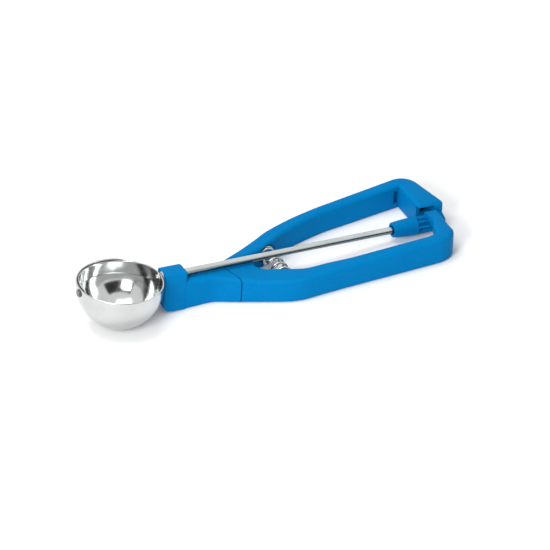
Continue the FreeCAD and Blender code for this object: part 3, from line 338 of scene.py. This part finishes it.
def fit_lever(x, y, z):
    """The lever's points, in the same millimetres.

    Its outer side moves as near_side says, and the upper inner edge of its shoulder comes
    nearer the rod. Its outer rear corner goes a little further back, and the inner corner
    where its crossbar starts goes ahead.
    """
    inside = y - np.interp(x, *NEAR_WALL)
    top = LEVER_TOP_START + LEVER_TOP_RISE * step_up(x, *LEVER_TOP_RUN)
    inner = step_up(inside, *SHOULDER_ACROSS) * step_up(z - top, *SHOULDER_BELOW_TOP)
    shoulder = np.interp(x, *SHOULDER_SHIFT)
    rear = step_up(x, *REAR_ALONG) * step_up(-y, *REAR_ASIDE)
    root = step_up(x, *ROOT_ALONG) * step_up(-y, *ROOT_ASIDE)
    root = np.where((x < REAR_ALONG[0]) & (-y < ROOT_LIMIT), root, 0)
    along = x + REAR_REACH * rear - ROOT_FILL * root
    return along, y + near_side(x, y) + inner * shoulder, z


def fit_pinion(x, y, z):
    """The hub drawn out by a ninth ahead of its teeth, and fuller towards its nose."""
    ahead = np.clip(HUB_REAR - x, 0, None)
    fuller = np.where(np.hypot(y, z) > HUB_BORE, 1 + HUB_FULLNESS * ahead, 1.0)
    return x - HUB_STRETCH * ahead, y * fuller, z * fuller


def refit(piece, fit, cuts=(), low_cuts=()):
    """Adds points on planes across the rod, and on level planes in the collar, then fits all."""
    work = bmesh.new()
    work.from_mesh(piece.data)
    for along in cuts:
        everything = work.verts[:] + work.edges[:] + work.faces[:]
        bmesh.ops.bisect_plane(
            work, geom=everything, dist=1e-6, plane_co=to_row((along * MM, 0, 0)), plane_no=ROD_WAY
        )
    limit = to_row(((COLLAR_FACE + COLLAR_CUT_DEPTH) * MM, 0, 0)) @ ROD_WAY
    for height in low_cuts:
        faces = [f for f in work.faces if np.array(f.calc_center_median()) @ ROD_WAY < limit]
        edges = list({e for f in faces for e in f.edges})
        verts = list({v for f in faces for v in f.verts})
        bmesh.ops.bisect_plane(
            work, geom=verts + edges + faces, dist=1e-6,
            plane_co=to_row((0, 0, height * MM)), plane_no=MOUTH_WAY,
        )
    work.to_mesh(piece.data)
    work.free()
    points = np.empty(len(piece.data.vertices) * 3)
    piece.data.vertices.foreach_get("co", points)
    own = (points.reshape(-1, 3) - BOWL_CENTRE) @ OWN_AXES.T / MM
    fitted = np.stack(fit(own[:, 0], own[:, 1], own[:, 2]), 1) * MM
    piece.data.vertices.foreach_set("co", to_row(fitted).ravel())
    piece.data.update()


def moulding(node, name, body, softening, fit, cuts=(), low_cuts=()):
    """A merged copy of a CAD node, fitted, smooth over its curves, with sharp edges eased."""
    source = frame["nodes"][node]
    piece = bpy.data.objects.new(name, source.data.copy())
    bpy.context.scene.collection.objects.link(piece)
    piece.data.materials.clear()
    mesh = piece.data
    if mesh.has_custom_normals:
        with bpy.context.temp_override(object=piece, active_object=piece):
            bpy.ops.mesh.customdata_custom_splitnormals_clear()
    tidy_mesh(piece, CAD_WELD)
    refit(piece, fit, cuts, low_cuts)
    tidy_mesh(piece, CAD_WELD)
    mesh.polygons.foreach_set("use_smooth", np.ones(len(mesh.polygons), bool))
    mesh.set_sharp_from_angle(angle=SHARP_ANGLE)
    bevel = piece.modifiers.new("eased edges", "BEVEL")
    bevel.width = softening
    bevel.segments = 3
    bevel.limit_method = "ANGLE"
    bevel.angle_limit = SHARP_ANGLE
    bevel.use_clamp_overlap = True
    bevel.harden_normals = False
    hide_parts(node)
    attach(piece, body)
    return piece


def link(tree, source, target):
    """Joins an output socket to an input socket."""
    tree.links.new(source, target)


def new_group(name, inputs, outputs):
    """A node group with inputs {name: default} and outputs {name: kind}.

    An input is a number, or a place where its default is None.
    """
    tree = bpy.data.node_groups.new(name, "ShaderNodeTree")
    for label, value in inputs.items():
        kind = "NodeSocketVector" if value is None else "NodeSocketFloat"
        socket = tree.interface.new_socket(label, in_out="INPUT", socket_type=kind)
        if value is not None:
            socket.default_value = value
    for label, kind in outputs.items():
        tree.interface.new_socket(label, in_out="OUTPUT", socket_type=kind)
    return tree, tree.nodes.new("NodeGroupInput"), tree.nodes.new("NodeGroupOutput")


def math_node(tree, operation, a, b=None, clamp=False):
    """One step of arithmetic on numbers or sockets."""
    made = tree.nodes.new("ShaderNodeMath")
    made.operation = operation
    made.use_clamp = clamp
    for socket, value in zip(made.inputs, (a, b)):
        if value is None:
            continue
        if isinstance(value, (int, float)):
            socket.default_value = value
        else:
            link(tree, value, socket)
    return made.outputs[0]


def noise(tree, vector, scale, detail=3.0, roughness=0.5):
    """Cloudy noise from about 0.3 to 0.7; the scale is a number or a socket."""
    made = tree.nodes.new("ShaderNodeTexNoise")
    made.inputs["Detail"].default_value = detail
    made.inputs["Roughness"].default_value = roughness
    link(tree, vector, made.inputs["Vector"])
    if isinstance(scale, (int, float)):
        made.inputs["Scale"].default_value = scale
    else:
        link(tree, scale, made.inputs["Scale"])
    return made.outputs["Fac"]


def spread(tree, value, low, high, to_low=0.0, to_high=1.0):
    """The range low to high carried over to another range, and held at its ends."""
    made = tree.nodes.new("ShaderNodeMapRange")
    made.inputs["From Min"].default_value = low
    made.inputs["From Max"].default_value = high
    made.inputs["To Min"].default_value = to_low
    made.inputs["To Max"].default_value = to_high
    link(tree, value, made.inputs["Value"])
    return made.outputs["Result"]


def make_smudge_group():
    """Slow patches, as left by wiping and by fingers: a mask from 0 to 1."""
    tree, inputs, outputs = new_group(
        "wiped patches", {"Place": None, "Scale": 60.0, "Sharpness": 0.2},
        {"Mask": "NodeSocketFloat"},
    )
    coarse = noise(tree, inputs.outputs["Place"], inputs.outputs["Scale"], 4.0, 0.55)
    low = math_node(tree, "SUBTRACT", 0.5, inputs.outputs["Sharpness"])
    high = math_node(tree, "ADD", 0.5, inputs.outputs["Sharpness"])
    share = math_node(
        tree, "DIVIDE", math_node(tree, "SUBTRACT", coarse, low),
        math_node(tree, "SUBTRACT", high, low), True,
    )
    link(tree, share, outputs.inputs["Mask"])
    return tree


def make_scratch_group():
    """Fine hairline scratches in three directions: thin crests of stretched noise."""
    tree, inputs, outputs = new_group(
        "hairlines", {"Place": None, "Scale": 220.0, "Thinness": 0.02},
        {"Mask": "NodeSocketFloat"},
    )
    total = None
    courses = ((0.5, (1.0, 0.06, 0.3)), (2.1, (0.07, 1.0, 0.3)), (1.2, (0.3, 0.08, 1.0)))
    for turn, stretch in courses:
        mapping = tree.nodes.new("ShaderNodeMapping")
        mapping.inputs["Rotation"].default_value = (turn * 0.3, turn * 0.2, turn)
        mapping.inputs["Scale"].default_value = stretch
        link(tree, inputs.outputs["Place"], mapping.inputs["Vector"])
        field = noise(tree, mapping.outputs["Vector"], inputs.outputs["Scale"], 1.0, 0.4)
        away = math_node(tree, "ABSOLUTE", math_node(tree, "SUBTRACT", field, 0.5))
        crest = math_node(
            tree, "SUBTRACT", 1.0, math_node(tree, "DIVIDE", away, inputs.outputs["Thinness"]), True
        )
        total = crest if total is None else math_node(tree, "MAXIMUM", total, crest)
    patches = noise(tree, inputs.outputs["Place"], 90.0, 2.0)
    some = spread(tree, patches, 0.45, 0.62)
    link(tree, math_node(tree, "MULTIPLY", total, some), outputs.inputs["Mask"])
    return tree


def make_grain_group():
    """The fine pitted grain of a moulded surface: two sizes of noise, as a height."""
    tree, inputs, outputs = new_group(
        "mould grain", {"Place": None, "Scale": 2600.0},
        {"Height": "NodeSocketFloat", "Cloud": "NodeSocketFloat"},
    )
    fine = noise(tree, inputs.outputs["Place"], inputs.outputs["Scale"], 2.0, 0.6)
    broad = noise(
        tree, inputs.outputs["Place"],
        math_node(tree, "MULTIPLY", inputs.outputs["Scale"], 0.23), 2.0, 0.5,
    )
    both = math_node(
        tree, "ADD", math_node(tree, "MULTIPLY", fine, 0.65),
        math_node(tree, "MULTIPLY", broad, 0.35),
    )
    link(tree, both, outputs.inputs["Height"])
    cloud = noise(tree, inputs.outputs["Place"], 55.0, 3.0, 0.5)
    link(tree, cloud, outputs.inputs["Cloud"])
    return tree


SMUDGES = make_smudge_group()
HAIRLINES = make_scratch_group()
GRAIN = make_grain_group()


def use_group(tree, group, place, **values):
    """The group placed in a material, with its own values."""
    made = tree.nodes.new("ShaderNodeGroup")
    made.node_tree = group
    link(tree, place, made.inputs["Place"])
    for key, value in values.items():
        made.inputs[key].default_value = value
    return made


def start_material(name):
    """A new material, its node tree, its main shader and the place on the piece."""
    material = bpy.data.materials.new(name)
    material.use_nodes = True
    tree = material.node_tree
    shader = tree.nodes["Principled BSDF"]
    place = tree.nodes.new("ShaderNodeTexCoord").outputs["Object"]
    return material, tree, shader, place


def mix_colours(tree, share, first, second):
    """Two colours, or sockets that give them, mixed by a share."""
    made = tree.nodes.new("ShaderNodeMix")
    made.data_type = "RGBA"
    for label, colour in (("A", first), ("B", second)):
        if isinstance(colour, tuple):
            made.inputs[label].default_value = (*colour, 1)
        else:
            link(tree, colour, made.inputs[label])
    link(tree, share, made.inputs["Factor"])
    return made.outputs["Result"]


def own_place(tree, place):
    """The place along the scoop's own axes, measured from the bowl's centre."""
    centred = tree.nodes.new("ShaderNodeMapping")
    centred.vector_type = "TEXTURE"
    centred.inputs["Location"].default_value = tuple(BOWL_CENTRE)
    centred.inputs["Rotation"].default_value = (0, LIE_ANGLE, 0)
    link(tree, place, centred.inputs["Vector"])
    return centred.outputs["Vector"]


def own_parts(tree, place):
    """The three parts of own_place, as sockets X, Y and Z."""
    parts = tree.nodes.new("ShaderNodeSeparateXYZ")
    link(tree, own_place(tree, place), parts.inputs["Vector"])
    return parts.outputs


def seam_shade(tree, place):
    """A mask along the joint between neck and lever, 0.3 mm to each side of its line."""
    parts = own_parts(tree, place)
    run, drop = np.array(SEAM_WAY) / np.hypot(*SEAM_WAY)
    ahead = math_node(tree, "SUBTRACT", parts["X"], SEAM_ALONG)
    aside = math_node(tree, "SUBTRACT", parts["Y"], SEAM_SIDE)
    off = math_node(
        tree, "ADD", math_node(tree, "MULTIPLY", ahead, -float(drop)),
        math_node(tree, "MULTIPLY", aside, float(run)),
    )
    near = spread(tree, math_node(tree, "ABSOLUTE", off), 0.12 * MM, 0.32 * MM, 1.0, 0.0)
    outside = math_node(tree, "LESS_THAN", aside, 0.2 * MM)
    return math_node(tree, "MULTIPLY", near, outside)


def add_bump(tree, shader, height, strength, distance):
    """Lets a height, over a distance in metres, turn the shader's normal."""
    bump = tree.nodes.new("ShaderNodeBump")
    bump.inputs["Strength"].default_value = strength
    bump.inputs["Distance"].default_value = distance
    link(tree, height, bump.inputs["Height"])
    link(tree, bump.outputs["Normal"], shader.inputs["Normal"])


def polished_steel():
    """Mirror-polished steel: spun rings about the bowl's axis, wiped patches and hairlines."""
    material, tree, shader, place = start_material("mirror polished steel")
    shader.inputs["Metallic"].default_value = 1.0
    patches = use_group(tree, SMUDGES, place, Scale=75.0, Sharpness=0.18).outputs["Mask"]
    lines = use_group(tree, HAIRLINES, place, Scale=260.0, Thinness=0.012).outputs["Mask"]
    flat = tree.nodes.new("ShaderNodeMapping")
    flat.inputs["Scale"].default_value = (0.02, 0.02, 1.0)
    link(tree, own_place(tree, place), flat.inputs["Vector"])
    rings = noise(tree, flat.outputs["Vector"], 1500.0, 3.0, 0.6)
    clean, wiped = (0.585, 0.60, 0.597), (0.53, 0.54, 0.533)
    colour = mix_colours(tree, patches, clean, wiped)
    link(tree, colour, shader.inputs["Base Color"])
    rough = math_node(
        tree, "ADD", spread(tree, patches, 0, 1, 0.12, 0.16),
        math_node(tree, "MULTIPLY", lines, 0.10),
    )
    link(tree, rough, shader.inputs["Roughness"])
    height = math_node(
        tree, "SUBTRACT", math_node(tree, "MULTIPLY", rings, 0.6),
        math_node(tree, "MULTIPLY", lines, 0.25),
    )
    add_bump(tree, shader, height, 0.06, 0.00004)
    return material


def drawn_steel(name, light, dark, reflection_share):
    """Drawn rod and turned parts: lines along the rod, duller than the bowl.

    The last argument is the share of a painted reflection: two bands along the sides of the
    rod are darkened towards a dark colour, standing in for the dark that the rod reflects
    below it. |y cos b + z sin b| is large there, and with b of 15 degrees the near band lies
    a little below level.
    """
    material, tree, shader, place = start_material(name)
    shader.inputs["Metallic"].default_value = 1.0
    patches = use_group(tree, SMUDGES, place, Scale=90.0, Sharpness=0.22).outputs["Mask"]
    lines = use_group(tree, HAIRLINES, place, Scale=300.0, Thinness=0.02).outputs["Mask"]
    along = tree.nodes.new("ShaderNodeMapping")
    along.inputs["Rotation"].default_value = (0, LIE_ANGLE, 0)
    along.inputs["Scale"].default_value = (0.02, 1.0, 1.0)
    link(tree, place, along.inputs["Vector"])
    drawn = noise(tree, along.outputs["Vector"], 4200.0, 3.0, 0.6)
    parts = own_parts(tree, place)
    # Painted reflection: the dark colour that the bands along the rod's sides are mixed towards,
    # standing in for what the rod reflects.
    lean, painted_reflection_colour = math.radians(15.0), (0.07, 0.10, 0.10)
    aside = math_node(
        tree, "ABSOLUTE", math_node(
            tree, "ADD", math_node(tree, "MULTIPLY", parts["Y"], math.cos(lean)),
            math_node(tree, "MULTIPLY", parts["Z"], math.sin(lean)),
        ),
    )
    # Painted reflection bands: nothing in the middle of the rod, up to the given share at its
    # sides.
    reflection_bands = spread(tree, aside, 0.60 * ROD_RADIUS, 0.85 * ROD_RADIUS, 0.0, reflection_share)
    bare = mix_colours(tree, patches, light, dark)
    with_painted_reflection = mix_colours(tree, reflection_bands, bare, painted_reflection_colour)
    link(tree, with_painted_reflection, shader.inputs["Base Color"])
    rough = math_node(
        tree, "ADD", spread(tree, drawn, 0.3, 0.7, 0.16, 0.27),
        math_node(tree, "MULTIPLY", lines, 0.12),
    )
    link(tree, rough, shader.inputs["Roughness"])
    height = math_node(
        tree, "SUBTRACT", math_node(tree, "MULTIPLY", drawn, 0.8),
        math_node(tree, "MULTIPLY", lines, 0.3),
    )
    add_bump(tree, shader, height, 0.12, 0.00005)
    return material


def spring_wire():
    """Bright spring wire, a little darker in patches, with a fine uneven skin."""
    material, tree, shader, place = start_material("bright spring wire")
    shader.inputs["Metallic"].default_value = 1.0
    patches = use_group(tree, SMUDGES, place, Scale=240.0, Sharpness=0.2).outputs["Mask"]
    bright, dull = (0.64, 0.65, 0.65), (0.5, 0.505, 0.5)
    colour = mix_colours(tree, patches, bright, dull)
    link(tree, colour, shader.inputs["Base Color"])
    fine = noise(tree, place, 2600.0, 3.0, 0.6)
    link(tree, spread(tree, fine, 0.3, 0.7, 0.18, 0.32), shader.inputs["Roughness"])
    add_bump(tree, shader, fine, 0.1, 0.00004)
    return material


def blue_plastic():
    """Blue moulded plastic: satin, with a fine grain, handling scuffs and slow colour drift."""
    material, tree, shader, place = start_material("satin blue plastic")
    grain = use_group(tree, GRAIN, place, Scale=2600.0)
    patches = use_group(tree, SMUDGES, place, Scale=45.0, Sharpness=0.25).outputs["Mask"]
    lines = use_group(tree, HAIRLINES, place, Scale=170.0, Thinness=0.012).outputs["Mask"]
    shader.inputs["Specular IOR Level"].default_value = 0.02
    deep, bright = (0.0002, 0.156, 0.400), (0.0004, 0.176, 0.440)
    scuff, shadow = (0.010, 0.23, 0.52), (0.0, 0.035, 0.11)
    colour = mix_colours(tree, grain.outputs["Cloud"], deep, bright)
    in_scuff = math_node(tree, "MULTIPLY", lines, 0.2)
    scuffed = mix_colours(tree, in_scuff, colour, scuff)
    in_seam = math_node(tree, "MULTIPLY", seam_shade(tree, place), 0.9)
    seamed = mix_colours(tree, in_seam, scuffed, shadow)
    link(tree, seamed, shader.inputs["Base Color"])
    rough = math_node(
        tree, "ADD", spread(tree, patches, 0, 1, 0.34, 0.43),
        math_node(tree, "MULTIPLY", lines, 0.08),
    )
    link(tree, rough, shader.inputs["Roughness"])
    height = math_node(
        tree, "SUBTRACT", grain.outputs["Height"], math_node(tree, "MULTIPLY", lines, 0.4)
    )
    add_bump(tree, shader, height, 0.22, 0.00005)
    return material


def bush_plastic():
    """Plain pale plastic of the bushes, slightly waxy."""
    material, tree, shader, place = start_material("waxy pale plastic")
    grain = use_group(tree, GRAIN, place, Scale=3200.0)
    dull, pale = (0.72, 0.72, 0.69), (0.78, 0.78, 0.76)
    colour = mix_colours(tree, grain.outputs["Cloud"], dull, pale)
    link(tree, colour, shader.inputs["Base Color"])
    rough = spread(tree, grain.outputs["Cloud"], 0.3, 0.7, 0.42, 0.52)
    link(tree, rough, shader.inputs["Roughness"])
    add_bump(tree, shader, grain.outputs["Height"], 0.15, 0.00004)
    return material


def paint(piece, material):
    """Gives a piece one material."""
    piece.data.materials.clear()
    piece.data.materials.append(material)


MIRROR = polished_steel()
# The rod's steel gets painted dark reflection bands along its sides at 0.75 of full strength; the
# other steels get none.
ROD = drawn_steel("rod steel with painted reflection", (0.62, 0.66, 0.65), (0.53, 0.57, 0.56), 0.75)
DRAWN = drawn_steel("drawn steel", (0.62, 0.66, 0.65), (0.53, 0.57, 0.56), 0.0)
RIVET = drawn_steel("dull rivet steel", (0.22, 0.24, 0.24), (0.15, 0.165, 0.165), 0.0)
WIRE = spring_wire()
BLUE = blue_plastic()
PALE = bush_plastic()

paint(make_bowl(), MIRROR)
paint(make_blade(), MIRROR)
paint(make_spring(), WIRE)
paint(
    moulding(
        "handle_body", "body_moulding", "handle", MOULD_EDGE,
        fit_body, BODY_CUTS, COLLAR_UNDER + CORNER_STEPS,
    ), BLUE,
)
paint(
    moulding(
        "lever_arm", "lever_moulding", "lever", MOULD_EDGE,
        fit_lever, LEVER_CUTS,
    ), BLUE,
)
paint(
    moulding(
        "pinion", "pinion_moulding", "spindle", HUB_EDGE,
        fit_pinion,
    ), BLUE,
)
for name, finish in {
    "drive_rod": ROD, "bowl_tang": DRAWN, "front_pivot_rivet": RIVET,
    "pivot_washer": RIVET, "lever_pivot_pin": DRAWN,
    "rod_bush": PALE, "thrust_washer": PALE, "tail_bush": PALE,
}.items():
    paint(frame["nodes"][name], finish)


def make_floor():
    """A pale floor that fades out into the white studio away from the scoop."""
    half, fade_from, fade_to = 3.0, 0.2, 0.5
    floor = make_object(
        "floor",
        [(-half, -half, 0), (half, -half, 0), (half, half, 0), (-half, half, 0)],
        [(0, 1, 2, 3)], False,
    )
    material = bpy.data.materials.new("pale floor")
    material.use_nodes = True
    tree = material.node_tree
    shader = tree.nodes["Principled BSDF"]
    shader.inputs["Base Color"].default_value = (0.93, 0.93, 0.93, 1)
    shader.inputs["Roughness"].default_value = 0.9
    away = tree.nodes.new("ShaderNodeVectorMath")
    away.operation = "LENGTH"
    link(tree, tree.nodes.new("ShaderNodeTexCoord").outputs["Object"], away.inputs[0])
    fade = spread(tree, away.outputs["Value"], fade_from, fade_to, 1.0, 0.0)
    link(tree, fade, shader.inputs["Alpha"])
    paint(floor, material)


def make_dark_side():
    """The unlit studio round the camera, which only reflections see.

    Part of a sphere of radius R round the scoop: R (cos e cos a, cos e sin a, sin e), with a
    within a half width of the camera's bearing and e between two heights above the table.
    """
    radius, bearing, half_width, lowest, highest = 1.5, -113.7, 46, 21, 52
    a = np.radians(np.linspace(bearing - half_width, bearing + half_width, 40))[:, None]
    e = np.radians(np.linspace(lowest, highest, 16))[None, :]
    points = radius * np.stack(
        [np.cos(e) * np.cos(a), np.cos(e) * np.sin(a), np.sin(e) + 0 * a], -1
    )
    rows, columns = points.shape[:2]
    screen = make_object(
        "dark side of the studio", points.reshape(-1, 3), grid_faces(rows, columns, False, False)
    )
    material = bpy.data.materials.new("dark cloth")
    material.use_nodes = True
    shader = material.node_tree.nodes["Principled BSDF"]
    shader.inputs["Base Color"].default_value = (0.03, 0.032, 0.035, 1)
    shader.inputs["Roughness"].default_value = 0.9
    paint(screen, material)
    screen.visible_camera = False
    screen.visible_diffuse = False
    screen.visible_transmission = False
    screen.visible_shadow = False


def make_world():
    """Plain soft light all round, and white where the camera and reflections see it."""
    world = bpy.data.worlds.new("soft studio")
    bpy.context.scene.world = world
    world.use_nodes = True
    tree = world.node_tree
    tree.nodes.clear()
    output = tree.nodes.new("ShaderNodeOutputWorld")
    path = tree.nodes.new("ShaderNodeLightPath")
    plain, white = (tree.nodes.new("ShaderNodeBackground") for _ in range(2))
    for background, strength in ((plain, 0.6), (white, 1.0)):
        background.inputs["Color"].default_value = (1, 1, 1, 1)
        background.inputs["Strength"].default_value = strength
    seen = math_node(
        tree, "MAXIMUM", path.outputs["Is Camera Ray"],
        math_node(
            tree, "MAXIMUM", path.outputs["Is Glossy Ray"], path.outputs["Is Transmission Ray"]
        ),
    )
    mix = tree.nodes.new("ShaderNodeMixShader")
    link(tree, seen, mix.inputs["Fac"])
    link(tree, plain.outputs["Background"], mix.inputs[1])
    link(tree, white.outputs["Background"], mix.inputs[2])
    link(tree, mix.outputs["Shader"], output.inputs["Surface"])


def area_light(name, place, aim, size, power):
    """A square softbox at a place, turned to its aim; metres and watts."""
    lamp = bpy.data.lights.new(name, "AREA")
    lamp.size = size
    lamp.energy = power
    holder = bpy.data.objects.new(name, lamp)
    bpy.context.scene.collection.objects.link(holder)
    holder.location = place
    holder.rotation_euler = (Vector(aim) - Vector(place)).to_track_quat("-Z", "Y").to_euler()


make_floor()
make_dark_side()
make_world()
area_light("front softbox", (-0.605, -0.523, 0.51), (-0.02, 0, 0.02), 0.36, 6.2)
area_light("top softbox", (-0.15, 0.1, 0.95), (0.03, 0, 0.02), 0.6, 4.5)


def make_camera():
    """The photograph's view, without perspective.

    Right and up are the picture's directions along the scoop's own axes, and the frame's
    middle lies at those distances from the bowl's centre.
    """
    frame_width, middle_right, middle_up, distance = 307.6 * MM, 86.86 * MM, 5.59 * MM, 0.6
    camera = bpy.data.cameras.new("photo view")
    camera.type = "ORTHO"
    camera.ortho_scale = frame_width
    holder = bpy.data.objects.new("photo view", camera)
    bpy.context.scene.collection.objects.link(holder)
    right = np.array([0.9032, -0.4261, 0.052])
    up = np.array([0.1816, 0.489, 0.853])
    right /= np.linalg.norm(right)
    up -= (up @ right) * right
    up /= np.linalg.norm(up)
    middle = middle_right * right + middle_up * up
    right, up = right @ OWN_AXES, up @ OWN_AXES
    back = np.cross(right, up)
    place = to_row(middle) + back * distance
    rows = [(right[i], up[i], back[i], place[i]) for i in range(3)]
    holder.matrix_world = Matrix([*rows, (0, 0, 0, 1)])
    camera.clip_start, camera.clip_end = 0.01, 10
    bpy.context.scene.camera = holder


make_camera()
bpy.context.scene.view_settings.view_transform = "Standard"
